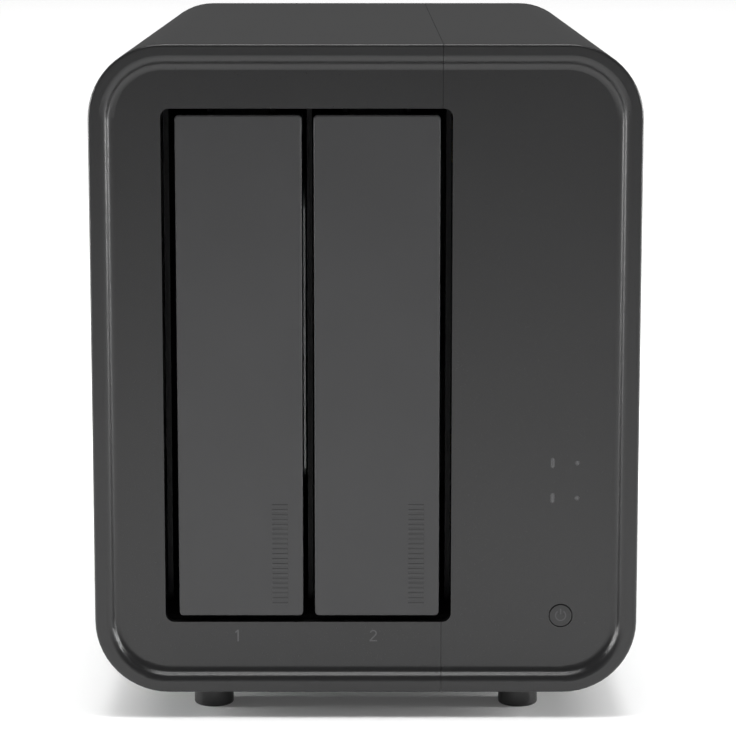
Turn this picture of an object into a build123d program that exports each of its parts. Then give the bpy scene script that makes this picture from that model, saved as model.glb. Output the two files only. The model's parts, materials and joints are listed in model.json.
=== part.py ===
from build123d import *
import math
import os

# Two-bay network attached storage. All sizes are in millimetres.
# Origin: on the floor, under the middle of the casing. The front faces -Y, +X is to the right, +Z is up.

# ---------------------------------------------------------------- driving dimensions
WIDTH = 122.0
DEPTH = 219.0
BODY_HEIGHT = 146.0
FOOT_HEIGHT = 6.0
CORNER_RADIUS = 16.5
WALL = 2.4
SEAM_X = 17.0
SEAM_GAP = 0.08
LAP = 1.2
LAP_REACH = 3.0
LAP_END = 100.0
FIT = 0.3

# screws: the thread cores, the holes they are driven into and the holes they pass through
M3_SCREW = {"head_radius": 2.6, "head_height": 1.7, "shaft_radius": 1.4}
FAN_SCREW = {"head_radius": 3.3, "head_height": 1.8, "shaft_radius": 2.0}
M3_PILOT = 1.45
M3_HOLE = 1.5
M3_CLEARANCE = 1.6
HEAD_CLEARANCE = 3.2
FAN_SCREW_HOLE = 2.1

FRONT = -DEPTH / 2
BACK = DEPTH / 2
LEFT = -WIDTH / 2
RIGHT = WIDTH / 2
BOTTOM = FOOT_HEIGHT
TOP = FOOT_HEIGHT + BODY_HEIGHT
BODY_MID = FOOT_HEIGHT + BODY_HEIGHT / 2

# raised rim round the front: a flat land, then an S-shaped slope down to the front panel
RIM_LAND = 3.5
RIM_SLOPE = 1.2
RIM_DEPTH = 1.9
RIM_EDGE_RADIUS = 0.6
RIM_BEND_RADIUS = 1.95
BACK_EDGE_RADIUS = 0.8
PANEL_FACE = FRONT + RIM_DEPTH
PANEL_BACK = PANEL_FACE + WALL

# drive bay opening and the two tray fronts in it
BAY_LEFT = -45.2
BAY_BOTTOM = BOTTOM + 15.9
BAY_TOP = TOP - 14.2
BAY_CORNER_RADIUS = 2.0
TRAY_WIDTH = 28.0
TRAY_HEIGHT = 113.0
GAP_LEFT = 3.1
GAP_MIDDLE = 2.6
GAP_RIGHT = 2.7
TRAY_MID = (BAY_BOTTOM + BAY_TOP) / 2
TRAY_X = [
    BAY_LEFT + GAP_LEFT + TRAY_WIDTH / 2,
    BAY_LEFT + GAP_LEFT + TRAY_WIDTH * 1.5 + GAP_MIDDLE,
]
BAY_RIGHT = TRAY_X[1] + TRAY_WIDTH / 2 + GAP_RIGHT

# rear panel, set into the back of the casing
REAR_FACE = BACK - 2.1
REAR_THICKNESS = 2.4
REAR_BACK = REAR_FACE - REAR_THICKNESS
PANEL_SCREW_X = 55.3
PANEL_SCREW_Z = [BOTTOM + 25.0, TOP - 25.0]
BOSS_RADIUS = 3.5
BOSS_LENGTH = 13.0

# drive cage of 1.2 mm walls between a base plate and a roof plate
SHEET = 1.2
PLATE = 1.6
CAGE_HALF = 57.9
CAGE_FOOT = TRAY_MID - CAGE_HALF - PLATE
POST_BORE = 7.5
CAGE_FRONT = -101.0
CAGE_WALL_FRONT = -86.0
CAGE_BACK = 62.8
CAGE_LEFT = -46.0
CAGE_RIGHT = 18.3
FLANGE = 7.0
GUIDE_HALF = 6.5
GUIDE_WIDTH = 1.2
GUIDE_HEIGHT = 2.0
GUIDE_FRONT = -90.0
GUIDE_BACK = 56.0
BACK_FLANGE = 9.0
BACK_SCREW_INSET = 5.0
WALL_WINDOW = (30.0, 34.0, 4.0)
WALL_WINDOW_Z = [-26.0, 26.0]
WALL_WINDOW_Y = [-50.0, -14.0, 22.0]
POST_PLACES = [(-49.5, -88.0), (13.7, -88.0), (-49.5, 54.0), (13.7, 54.0)]

# backplane and main board
BACKPLANE_FRONT = 60.0
BOARD = 1.6
MAIN_BOARD_X = 27.5
MAIN_BOARD_BACK = 104.6
MAIN_BOARD_LENGTH = 160.0
MAIN_BOARD_BOTTOM = BOTTOM + 18.0
MAIN_BOARD_TOP = TOP - 20.0
COMPONENT_X = MAIN_BOARD_X + BOARD
SPACER_PLACES = [(y, z) for y in (-48.0, 48.0) for z in (MAIN_BOARD_BOTTOM + 9.0, MAIN_BOARD_TOP - 9.0)]
SPACER_RADIUS = 2.9
PORT_FACE = REAR_FACE - 0.2
LAN_Z = BOTTOM + 87.0
USB_Z = [BOTTOM + 65.0, BOTTOM + 46.0]
POWER_INLET_Z = BOTTOM + 26.0
RESET_Z = BOTTOM + 104.0
CHIP_HEIGHT = 1.8
HEATSINK_FRONT = -11.0
HEATSINK_LOW = BOTTOM + 54.0
HEATSINK_SIZE = 44.0
HEATSINK_HEIGHT = 17.0
PROCESSOR_SIZE = 18.0
MEMORY_WIDTH = 9.0
MEMORY_LENGTH = 13.0
CAN_RADIUS = 3.2
CAN_HEIGHT = 9.0
BATTERY_RADIUS = 10.0
BATTERY_PLACE = (66.0, BOTTOM + 111.0)
FINS = 11
FIN_THICKNESS = 1.2
LAN_HEIGHT = 13.5
LAN_WIDTH = 16.0
LAN_LENGTH = 21.5
USB_HEIGHT = 7.0
USB_WIDTH = 14.5
USB_LENGTH = 15.0
USB_SHELL = 0.9
USB_MOUTH_DEPTH = 10.0
USB_TONGUE = 1.8
USB_TONGUE_X = 3.7
USB_TONGUE_INSET = 0.75
LAN_FLOOR = 1.6
LAN_ROOF = 9.6
LAN_CATCH = 11.8
LAN_MOUTH = 11.8
LAN_NOTCH = 6.0
LAN_MOUTH_DEPTH = 14.0
INLET_HEIGHT = 11.0
INLET_WIDTH = 9.4
INLET_LENGTH = 14.0
INLET_AXIS = 6.0
INLET_BORE_RADIUS = 3.15
INLET_BORE_DEPTH = 9.5
INLET_PIN_RADIUS = 1.25
RESET_X = COMPONENT_X + 1.6
RESET_RADIUS = 0.9
RESET_FIT = 0.05
RESET_HOLE = 1.3
RESET_TIP = 105.6
SWITCH_BACK = 101.5
SWITCH_DEPTH = 4.0

LINK_LOW = BOTTOM + 51.0
LINK_HIGH = BOTTOM + 93.0
BACKPLANE_SCREW_X = [-38.0, 10.0]
WALL_SCREW_Y = [-72.0, 40.0]

# 3.5 inch drive
DRIVE_THICKNESS = 26.1
DRIVE_HEIGHT = 101.6
DRIVE_LENGTH = 147.0
DRIVE_FRONT = -95.0
DRIVE_BACK = DRIVE_FRONT + DRIVE_LENGTH
DRIVE_HOLE_Y = [DRIVE_BACK - 28.5, DRIVE_BACK - 130.1]
DRIVE_HOLE_FROM_BOARD = 6.35
DRIVE_TO_LEFT = 12.4
DRIVE_BOARD_FRONT = -22.0
DRIVE_BOARD_LOW = 46.0
DRIVE_BOARD_HIGH = 40.0
CONNECTOR_Z = TRAY_MID - 24.0

# tray frame and its front handle
RAIL_INNER = 51.1
RAIL_OUTER = 55.0
RUNNER_OUTER = 56.9
RAIL_TOP_FRONT = -93.5
CROSS_FRONT = -98.5
CROSS_BACK = -96.0
TRAY_BACK = 50.0
FRAME_WIDTH = 27.6
TRAY_WINDOW = (34.0, 40.0, 5.0)
TRAY_WINDOW_Y = [-54.0, -12.0, 30.0]
TRAY_WINDOW_Z = [-25.0, 25.0]
CLIP_HALF = 4.0
CLIP_LENGTH = 117.0
CLIP_FRONT = -86.0
CLIP_THICKNESS = 1.2
HINGE_Y = -102.6
HINGE_Z = TRAY_MID + 42.5
HINGE_PIN_RADIUS = 1.0
HINGE_FIT = 0.05
LATCH_Z = TRAY_MID - 47.0
LATCH_RADIUS = 2.0
LATCH_FIT = 0.08
LATCH_LENGTH = 4.9
LATCH_GAP = 0.4
SPRING_RADIUS = 1.3
SPRING_WIRE = 0.18
SPRING_PITCH = 0.62
SPRING_TURNS = 4

# 80 mm fan
FAN_SIZE = 80.0
FAN_DEPTH = 25.0
FAN_X = -17.0
FAN_Z = BOTTOM + 75.0
FAN_BORE = 38.3
FAN_HOLE = 35.75
FAN_FRONT = REAR_BACK - FAN_DEPTH
MOTOR_MOUNT = 2.6
SHAFT_RADIUS = 1.5
SHAFT_FIT = 0.05
HUB_RADIUS = 16.0
HUB_WALL = 1.4
HUB_LENGTH = 19.6
BLADES = 7
GRILLE_RADIUS = 37.5
GRILLE_HUB = 8.0
PLUG_Y = 70.7
PLUG_Z = BOTTOM + 31.0
PLUG_DEPTH = 6.0
PLUG_LENGTH = 7.4
LEAD_RADIUS = 1.1
LEAD_BEND = 2.6

# control side of the front: indicator windows and the power button
WINDOW_Z = [BOTTOM + 52.5, BOTTOM + 44.5]
SLOT_WINDOW_X = 41.9
SLOT_WINDOW_RADIUS = 0.45
SLOT_WINDOW_LENGTH = 2.3
DOT_WINDOW_X = 47.4
DOT_WINDOW_RADIUS = 0.5
WINDOW_FIT = 0.03
BUTTON_X = 44.0
BUTTON_Z = BOTTOM + 17.4
BUTTON_RADIUS = 2.6
BUTTON_FIT = 0.1
BUTTON_COLLAR = 1.0
BUTTON_STEM_RADIUS = 1.5
SWITCH_SIZE = 6.0
SWITCH_HEIGHT = 3.6
PIPE_LENGTH = 8.4
PIPE_COLLAR = 1.0
PIPE_COLLAR_RADIUS = 1.6
INDICATOR_Y = -98.0
INDICATOR_SCREW_Z = [BOTTOM + 31.0, BOTTOM + 61.0]

# air slots, feet
FLOOR_SLOT_Y = [-26.0, 24.0]
FLOOR_SLOT_LENGTH = 42.0
SIDE_SLOT_Z = BOTTOM + 33.0
SIDE_SLOT_LENGTH = 24.0
SLOT_WIDTH = 2.4
PEG_RADIUS = 2.0
FOOT_RADIUS = 4.5
FOOT_EDGE_RADIUS = 0.6
FOOT_X = 35.0
FOOT_Y = [-96.0, 88.0]

os.makedirs("parts", exist_ok=True)


# ---------------------------------------------------------------- helpers
def facing_front(y):
    """A plane at depth y that is drawn in X and Z; a negative extrude goes towards the back."""
    return Plane((0, y, 0), x_dir=(1, 0, 0), z_dir=(0, -1, 0))


def facing_right(x):
    """A plane at x that is drawn in Y and Z; a positive extrude goes towards +X."""
    return Plane((x, 0, 0), x_dir=(0, 1, 0), z_dir=(1, 0, 0))


def block(low, high, mode=Mode.ADD):
    """A box between two corners, in the part being built."""
    middle = [(a + b) / 2 for a, b in zip(low, high)]
    size = [b - a for a, b in zip(low, high)]
    with Locations(tuple(middle)):
        Box(*size, mode=mode)


def rod(start, direction, radius, length, mode=Mode.ADD):
    """A cylinder that starts at a point and runs along a direction, in the part being built."""
    with BuildSketch(Plane(start, z_dir=direction)) as end:
        Circle(radius)
    extrude(end.sketch, amount=length, mode=mode)


def pan_screw(seat, direction, length, head_radius, head_height, shaft_radius):
    """A screw whose head stands on a seat; direction is the way the shaft points."""
    back = tuple(-c for c in direction)
    rod(seat, back, head_radius, head_height)
    rod(seat, direction, shaft_radius, length)
    drive = tuple(s + b * head_height for s, b in zip(seat, back))
    rod(drive, direction, head_radius * 0.42, head_height * 0.6, mode=Mode.SUBTRACT)


def slot_window(grow=0.0):
    """Outline of an upright indicator window, made larger all round by grow."""
    height = 2 * (SLOT_WINDOW_RADIUS + grow)
    SlotOverall(SLOT_WINDOW_LENGTH + 2 * grow, height, rotation=90)


def save(builder, name):
    """Label a finished piece and write it to its own file."""
    builder.part.label = name
    export_step(builder.part, f"parts/{name}.step")


# ---------------------------------------------------------------- casing
with BuildPart() as casing:
    with BuildSketch(facing_front(FRONT)):
        with Locations((0, BODY_MID)):
            RectangleRounded(WIDTH, BODY_HEIGHT, CORNER_RADIUS)
    extrude(amount=-DEPTH)
    fillet(casing.faces().sort_by(Axis.Y)[0].edges(), RIM_EDGE_RADIUS)
    fillet(casing.faces().sort_by(Axis.Y)[-1].edges(), BACK_EDGE_RADIUS)
    # recessed front panel inside the rim
    for inset, y in [(RIM_LAND, FRONT), (RIM_LAND + RIM_SLOPE, PANEL_FACE)]:
        with BuildSketch(facing_front(y)):
            with Locations((0, BODY_MID)):
                RectangleRounded(WIDTH - 2 * inset, BODY_HEIGHT - 2 * inset, CORNER_RADIUS - inset)
    loft(mode=Mode.SUBTRACT)
    fillet(casing.faces().sort_by(Axis.Y)[0].inner_wires()[0].edges(), RIM_BEND_RADIUS)
    rim_foot = casing.edges().filter_by_position(Axis.Y, PANEL_FACE - 0.01, PANEL_FACE + 0.01)
    fillet(rim_foot, RIM_BEND_RADIUS)
    # hollow inside, open at the back
    with BuildSketch(facing_front(PANEL_BACK)):
        with Locations((0, BODY_MID)):
            RectangleRounded(WIDTH - 2 * WALL, BODY_HEIGHT - 2 * WALL, CORNER_RADIUS - WALL)
    extrude(amount=PANEL_BACK - BACK, mode=Mode.SUBTRACT)
    # drive bay opening
    with BuildSketch(facing_front(PANEL_FACE - 0.5)):
        with Locations(((BAY_LEFT + BAY_RIGHT) / 2, TRAY_MID)):
            RectangleRounded(BAY_RIGHT - BAY_LEFT, BAY_TOP - BAY_BOTTOM, BAY_CORNER_RADIUS)
    extrude(amount=-(WALL + 1.0), mode=Mode.SUBTRACT)
    # indicator windows and button hole
    with BuildSketch(facing_front(PANEL_FACE - 0.5)):
        for z in WINDOW_Z:
            with Locations((SLOT_WINDOW_X, z)):
                slot_window(WINDOW_FIT)
            with Locations((DOT_WINDOW_X, z)):
                Circle(DOT_WINDOW_RADIUS + WINDOW_FIT)
        with Locations((BUTTON_X, BUTTON_Z)):
            Circle(BUTTON_RADIUS + BUTTON_FIT)
    extrude(amount=-(WALL + 1.0), mode=Mode.SUBTRACT)
    # air intake slots in the floor of the casing
    with BuildSketch(Plane.XY.offset(BOTTOM - 0.5)):
        for y in FLOOR_SLOT_Y:
            for k in range(10):
                with Locations((-43.0 + 5.6 * k, y)):
                    SlotOverall(FLOOR_SLOT_LENGTH, SLOT_WIDTH, rotation=90)
    extrude(amount=WALL + 1.0, mode=Mode.SUBTRACT)
    # air intake slots low in both side walls
    with BuildSketch(facing_right(LEFT - 1.0)):
        for k in range(12):
            with Locations((-8.0 + 6.0 * k, SIDE_SLOT_Z)):
                SlotOverall(SIDE_SLOT_LENGTH, SLOT_WIDTH, rotation=90)
    extrude(amount=WIDTH + 2.0, mode=Mode.SUBTRACT)
    # sockets for the pegs of the feet
    for x in (-FOOT_X, FOOT_X):
        for y in FOOT_Y:
            rod((x, y, BOTTOM - 0.5), (0, 0, 1), PEG_RADIUS + 0.05, WALL + 1.0, mode=Mode.SUBTRACT)

def rear_boss(x, z):
    """Bored boss inside the casing that a screw through the rear panel is driven into."""
    rod((x, REAR_BACK, z), (0, -1, 0), BOSS_RADIUS, BOSS_LENGTH)
    rod((x, REAR_BACK, z), (0, -1, 0), M3_PILOT, BOSS_LENGTH - 1.5, mode=Mode.SUBTRACT)


with BuildPart() as left_shell:
    add(casing.part)
    split(bisect_by=Plane.YZ.offset(SEAM_X - SEAM_GAP / 2), keep=Keep.BOTTOM)
    # lap strips that close the seam from inside
    lap_low = SEAM_X - LAP_REACH
    lap_high = SEAM_X + LAP_REACH
    block((lap_low, -LAP_END, TOP - WALL - LAP), (lap_high, LAP_END, TOP - WALL))
    block((lap_low, -LAP_END, BOTTOM + WALL), (lap_high, LAP_END, BOTTOM + WALL + LAP))
    block((lap_low, PANEL_BACK, BAY_TOP + 1.0), (lap_high, PANEL_BACK + LAP, TOP - WALL))
    block((lap_low, PANEL_BACK, BOTTOM + WALL), (lap_high, PANEL_BACK + LAP, BAY_BOTTOM - 1.8))
    # posts that carry the drive cage
    for x, y in POST_PLACES:
        rod((x, y, BOTTOM + WALL), (0, 0, 1), BOSS_RADIUS, CAGE_FOOT - BOTTOM - WALL)
        rod((x, y, CAGE_FOOT), (0, 0, -1), M3_PILOT, POST_BORE, mode=Mode.SUBTRACT)
    for z in PANEL_SCREW_Z:
        rear_boss(-PANEL_SCREW_X, z)
save(left_shell, "left_shell")

with BuildPart() as right_shell:
    add(casing.part)
    split(bisect_by=Plane.YZ.offset(SEAM_X + SEAM_GAP / 2), keep=Keep.TOP)
    for z in PANEL_SCREW_Z:
        rear_boss(PANEL_SCREW_X, z)
    # posts that carry the indicator board behind the front panel
    for z in INDICATOR_SCREW_Z:
        rod((BUTTON_X, PANEL_BACK, z), (0, 1, 0), 2.6, INDICATOR_Y - PANEL_BACK)
        rod((BUTTON_X, INDICATOR_Y, z), (0, -1, 0), M3_PILOT, 6.0, mode=Mode.SUBTRACT)
save(right_shell, "right_shell")

# ---------------------------------------------------------------- rear panel
with BuildPart() as rear_panel:
    inner_width = WIDTH - 2 * WALL - 0.2
    inner_height = BODY_HEIGHT - 2 * WALL - 0.2
    with BuildSketch(facing_front(REAR_BACK)):
        with Locations((0, BODY_MID)):
            RectangleRounded(inner_width, inner_height, CORNER_RADIUS - WALL - 0.1)
        # fan grille: rings on eight spokes
        with Locations((FAN_X, FAN_Z)):
            Circle(GRILLE_RADIUS, mode=Mode.SUBTRACT)
            for k in range(5):
                ring = GRILLE_RADIUS - 3.9 - 5.2 * k
                Circle(ring)
                Circle(ring - 1.6, mode=Mode.SUBTRACT)
            Circle(GRILLE_HUB)
        for k in range(8):
            turn = math.radians(45.0 * k + 22.5)
            reach = (GRILLE_RADIUS + GRILLE_HUB) / 2
            with Locations((FAN_X + reach * math.cos(turn), FAN_Z + reach * math.sin(turn))):
                Rectangle(GRILLE_RADIUS - GRILLE_HUB + 1.0, 1.8, rotation=math.degrees(turn))
        # openings that the ports stand in
        for z in USB_Z:
            with Locations((COMPONENT_X + USB_HEIGHT / 2, z)):
                Rectangle(USB_HEIGHT + 2 * FIT, USB_WIDTH + 2 * FIT, mode=Mode.SUBTRACT)
        with Locations((COMPONENT_X + LAN_HEIGHT / 2, LAN_Z)):
            Rectangle(LAN_HEIGHT + 2 * FIT, LAN_WIDTH + 2 * FIT, mode=Mode.SUBTRACT)
        with Locations((COMPONENT_X + INLET_HEIGHT / 2, POWER_INLET_Z)):
            Rectangle(INLET_HEIGHT + 2 * FIT, INLET_WIDTH + 2 * FIT, mode=Mode.SUBTRACT)
        with Locations((RESET_X, RESET_Z)):
            Circle(RESET_HOLE, mode=Mode.SUBTRACT)
        # holes for the panel screws and the fan screws
        for z in PANEL_SCREW_Z:
            with Locations((-PANEL_SCREW_X, z), (PANEL_SCREW_X, z)):
                Circle(M3_CLEARANCE, mode=Mode.SUBTRACT)
        with Locations((FAN_X, FAN_Z)):
            with GridLocations(2 * FAN_HOLE, 2 * FAN_HOLE, 2, 2):
                Circle(FAN_SCREW_HOLE, mode=Mode.SUBTRACT)
        # air slots right of the ports
        for k in range(11):
            with Locations((50.0, BOTTOM + 39.0 + 7.0 * k)):
                SlotOverall(9.0, SLOT_WIDTH, mode=Mode.SUBTRACT)
    extrude(amount=-REAR_THICKNESS)
    # raised land round the fan grille
    with BuildSketch(facing_front(REAR_FACE)):
        with Locations((FAN_X, FAN_Z)):
            Circle(GRILLE_RADIUS + 2.0)
            Circle(GRILLE_RADIUS, mode=Mode.SUBTRACT)
    extrude(amount=-0.8)
save(rear_panel, "rear_panel")


# ---------------------------------------------------------------- drive cage
def cage_plate(side):
    """Base (side -1) or roof (side +1) of the cage, with guide ribs for the trays' runners."""
    inner = TRAY_MID + side * CAGE_HALF
    outer = inner + side * PLATE
    rib = inner - side * GUIDE_HEIGHT
    low, high = sorted((inner, outer))
    block((CAGE_LEFT - FLANGE, CAGE_FRONT, low), (CAGE_RIGHT + SHEET + FLANGE, CAGE_BACK, high))
    low, high = sorted((inner, rib))
    for x in TRAY_X:
        for edge in (-GUIDE_HALF - GUIDE_WIDTH, GUIDE_HALF):
            block((x + edge, GUIDE_FRONT, low), (x + edge + GUIDE_WIDTH, GUIDE_BACK, high))
    # upturned flange that the backplane is screwed to
    low, high = sorted((inner, inner - side * BACK_FLANGE))
    block((CAGE_LEFT + 3.0, BACKPLANE_FRONT + BOARD, low), (CAGE_RIGHT - 3.0, CAGE_BACK, high))
    for x in BACKPLANE_SCREW_X:
        seat = (x, BACKPLANE_FRONT, inner - side * BACK_SCREW_INSET)
        rod(seat, (0, 1, 0), M3_PILOT, 5.0, mode=Mode.SUBTRACT)
    for x in (CAGE_LEFT - FLANGE / 2, CAGE_RIGHT + SHEET + FLANGE / 2):
        for y in WALL_SCREW_Y:
            rod((x, y, inner - side * 3.0), (0, 0, side), M3_PILOT, 8.0, mode=Mode.SUBTRACT)
    # air slots between the runners
    with BuildSketch(Plane.XY.offset(min(inner, outer) - 0.5)) as slots:
        for x in TRAY_X:
            for k in range(6):
                with Locations((x, -78.0 + 24.0 * k)):
                    SlotOverall(11.0, 6.0)
    extrude(slots.sketch, amount=PLATE + 1.0, mode=Mode.SUBTRACT)


def cage_wall(x, flange_way):
    """Upright wall of the cage with a flange at its foot and head, which turns towards flange_way."""
    foot = TRAY_MID - CAGE_HALF
    head = TRAY_MID + CAGE_HALF
    block((x, CAGE_WALL_FRONT, foot), (x + SHEET, CAGE_BACK, head))
    edge = x if flange_way < 0 else x + SHEET
    low, high = sorted((edge, edge + flange_way * FLANGE))
    for bottom in (foot, head - SHEET):
        block((low, CAGE_WALL_FRONT, bottom), (high, CAGE_BACK, bottom + SHEET))
        for y in WALL_SCREW_Y:
            middle = (low + high) / 2
            rod((middle, y, bottom - 1.0), (0, 0, 1), M3_PILOT, SHEET + 2.0, mode=Mode.SUBTRACT)
    with BuildSketch(facing_right(x - 1.0)) as windows:
        for y in WALL_WINDOW_Y:
            for z in WALL_WINDOW_Z:
                with Locations((y, TRAY_MID + z)):
                    RectangleRounded(*WALL_WINDOW)
    extrude(windows.sketch, amount=SHEET + 2.0, mode=Mode.SUBTRACT)


with BuildPart() as cage_base:
    cage_plate(-1)
    for x, y in POST_PLACES:
        rod((x, y, BOTTOM), (0, 0, 1), M3_CLEARANCE, CAGE_FOOT, mode=Mode.SUBTRACT)
save(cage_base, "cage_base")

with BuildPart() as cage_roof:
    cage_plate(1)
save(cage_roof, "cage_roof")

with BuildPart() as cage_left_wall:
    cage_wall(CAGE_LEFT, -1)
    # clearance for the heads of the screws into the posts
    for x, y in POST_PLACES[::2]:
        rod((x, y, CAGE_FOOT), (0, 0, 1), HEAD_CLEARANCE, 12.0, mode=Mode.SUBTRACT)
save(cage_left_wall, "cage_left_wall")

with BuildPart() as cage_divider:
    divider_x = (TRAY_X[0] + TRAY_X[1]) / 2 - SHEET / 2
    block(
        (divider_x, CAGE_WALL_FRONT, TRAY_MID - CAGE_HALF),
        (divider_x + SHEET, BACKPLANE_FRONT, TRAY_MID + CAGE_HALF),
    )
    with BuildSketch(facing_right(divider_x - 1.0)):
        for y in WALL_WINDOW_Y:
            for z in WALL_WINDOW_Z:
                with Locations((y, TRAY_MID + z)):
                    RectangleRounded(*WALL_WINDOW)
    extrude(amount=SHEET + 2.0, mode=Mode.SUBTRACT)
save(cage_divider, "cage_divider")

with BuildPart() as cage_right_wall:
    cage_wall(CAGE_RIGHT, 1)
    # notch that the backplane's edge passes through to the main board
    block(
        (CAGE_RIGHT - 1.0, 55.0, LINK_LOW - 2.0),
        (CAGE_RIGHT + 3.0, CAGE_BACK + 1.0, LINK_HIGH + 2.0),
        Mode.SUBTRACT,
    )
    for y, z in SPACER_PLACES:
        rod((CAGE_RIGHT - 1.0, y, z), (1, 0, 0), M3_PILOT, 5.0, mode=Mode.SUBTRACT)
save(cage_right_wall, "cage_right_wall")

with BuildPart() as cage_screws:
    for side in (-1, 1):
        for x in (CAGE_LEFT - FLANGE / 2, CAGE_RIGHT + SHEET + FLANGE / 2):
            for y in WALL_SCREW_Y:
                seat = (x, y, TRAY_MID + side * (CAGE_HALF + PLATE))
                pan_screw(seat, (0, 0, -side), PLATE + SHEET + 1.2, **M3_SCREW)
save(cage_screws, "cage_screws")

with BuildPart() as post_screws:
    for x, y in POST_PLACES:
        pan_screw((x, y, TRAY_MID - CAGE_HALF), (0, 0, -1), 8.0, **M3_SCREW)
save(post_screws, "post_screws")

# ---------------------------------------------------------------- backplane and its connectors
with BuildPart() as backplane_board:
    with BuildSketch(facing_front(BACKPLANE_FRONT)):
        with Locations(((CAGE_LEFT + CAGE_RIGHT + SHEET) / 2, TRAY_MID)):
            Rectangle(CAGE_RIGHT - CAGE_LEFT - SHEET - 1.0, 2 * CAGE_HALF - 0.6)
        # tongue that reaches through the cage wall to the main board
        tongue_start = CAGE_RIGHT - 2.0
        tongue_end = MAIN_BOARD_X - 1.6
        with Locations(((tongue_start + tongue_end) / 2, (LINK_LOW + LINK_HIGH) / 2)):
            Rectangle(tongue_end - tongue_start, LINK_HIGH - LINK_LOW)
        # air window behind each drive
        for x in TRAY_X:
            with Locations((x + 2.0, TRAY_MID + 26.0)):
                RectangleRounded(15.0, 34.0, 3.0, mode=Mode.SUBTRACT)
        for x in BACKPLANE_SCREW_X:
            for z in (-1, 1):
                with Locations((x, TRAY_MID + z * (CAGE_HALF - BACK_SCREW_INSET))):
                    Circle(M3_HOLE, mode=Mode.SUBTRACT)
    extrude(amount=-BOARD)
save(backplane_board, "backplane_board")

with BuildPart() as drive_connectors:
    for x in TRAY_X:
        middle = x - DRIVE_THICKNESS / 2 + DRIVE_HOLE_FROM_BOARD
        base_y = BACKPLANE_FRONT - 6.5
        nose_y = DRIVE_BACK - 2.4
        low_z = CONNECTOR_Z - 22.5
        high_z = CONNECTOR_Z + 22.5
        block((middle - 4.0, base_y, low_z), (middle + 4.0, BACKPLANE_FRONT, high_z))
        block((middle - 2.0, nose_y, low_z + 2.5), (middle + 2.0, base_y, high_z - 2.5))
        # slots for the contact blades of data and power
        for low, high in ((-18.0, -3.0), (-1.0, 18.0)):
            block(
                (middle - 0.6, nose_y - 0.6, CONNECTOR_Z + low),
                (middle + 0.6, base_y - 0.5, CONNECTOR_Z + high),
                Mode.SUBTRACT,
            )
save(drive_connectors, "drive_connectors")

# ---------------------------------------------------------------- main board and what it carries
with BuildPart() as main_board:
    with BuildSketch(facing_right(MAIN_BOARD_X)):
        with Locations((MAIN_BOARD_BACK - MAIN_BOARD_LENGTH / 2, (MAIN_BOARD_BOTTOM + MAIN_BOARD_TOP) / 2)):
            RectangleRounded(MAIN_BOARD_LENGTH, MAIN_BOARD_TOP - MAIN_BOARD_BOTTOM, 2.0)
        with Locations(*SPACER_PLACES):
            Circle(M3_HOLE, mode=Mode.SUBTRACT)
    extrude(amount=BOARD)
save(main_board, "main_board")

with BuildPart() as board_spacers:
    for y, z in SPACER_PLACES:
        with BuildSketch(facing_right(CAGE_RIGHT + SHEET)) as hexagon:
            with Locations((y, z)):
                RegularPolygon(SPACER_RADIUS, 6)
                Circle(M3_PILOT, mode=Mode.SUBTRACT)
        extrude(hexagon.sketch, amount=MAIN_BOARD_X - CAGE_RIGHT - SHEET)
save(board_spacers, "board_spacers")

with BuildPart() as board_screws:
    for y, z in SPACER_PLACES:
        pan_screw((COMPONENT_X, y, z), (-1, 0, 0), 6.0, **M3_SCREW)
save(board_screws, "board_screws")

with BuildPart() as link_connector:
    middle = BACKPLANE_FRONT + BOARD / 2
    block((21.0, middle - 3.6, LINK_LOW - 1.5), (MAIN_BOARD_X, middle + 3.6, LINK_HIGH + 1.5))
    block(
        (20.0, middle - BOARD / 2 - 0.05, LINK_LOW - 0.1),
        (MAIN_BOARD_X - 1.5, middle + BOARD / 2 + 0.05, LINK_HIGH + 0.1),
        Mode.SUBTRACT,
    )
save(link_connector, "link_connector")

with BuildPart() as processor:
    chip_y = HEATSINK_FRONT + (HEATSINK_SIZE - PROCESSOR_SIZE) / 2
    chip_z = HEATSINK_LOW + (HEATSINK_SIZE - PROCESSOR_SIZE) / 2
    block(
        (COMPONENT_X, chip_y, chip_z),
        (COMPONENT_X + CHIP_HEIGHT, chip_y + PROCESSOR_SIZE, chip_z + PROCESSOR_SIZE),
    )
    chamfer(processor.faces().sort_by(Axis.X)[-1].edges(), 0.3)
save(processor, "processor")

with BuildPart() as heatsink:
    base_x = COMPONENT_X + CHIP_HEIGHT
    fin_x = base_x + 3.0
    tip_x = base_x + HEATSINK_HEIGHT
    high_z = HEATSINK_LOW + HEATSINK_SIZE
    block((base_x, HEATSINK_FRONT, HEATSINK_LOW), (fin_x, HEATSINK_FRONT + HEATSINK_SIZE, high_z))
    for k in range(FINS):
        y = HEATSINK_FRONT + (HEATSINK_SIZE - FIN_THICKNESS) * k / (FINS - 1)
        block((fin_x, y, HEATSINK_LOW), (tip_x, y + FIN_THICKNESS, high_z))
save(heatsink, "heatsink")

with BuildPart() as memory_chips:
    for y in (-44.0, -30.0):
        for z in (BOTTOM + 61.0, BOTTOM + 79.0):
            block((COMPONENT_X, y, z), (COMPONENT_X + 1.2, y + MEMORY_WIDTH, z + MEMORY_LENGTH))
save(memory_chips, "memory_chips")

with BuildPart() as capacitors:
    low_group = [(62.0, BOTTOM + 25.0), (70.0, BOTTOM + 25.0), (62.0, BOTTOM + 34.0)]
    high_group = [(y, BOTTOM + 107.0) for y in (-40.0, -30.0, -20.0)]
    for y, z in low_group + high_group:
        rod((COMPONENT_X, y, z), (1, 0, 0), CAN_RADIUS, CAN_HEIGHT)
    can_tops = capacitors.faces().group_by(Axis.X)[-1]
    fillet(can_tops.edges(), 0.5)
save(capacitors, "capacitors")

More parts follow.
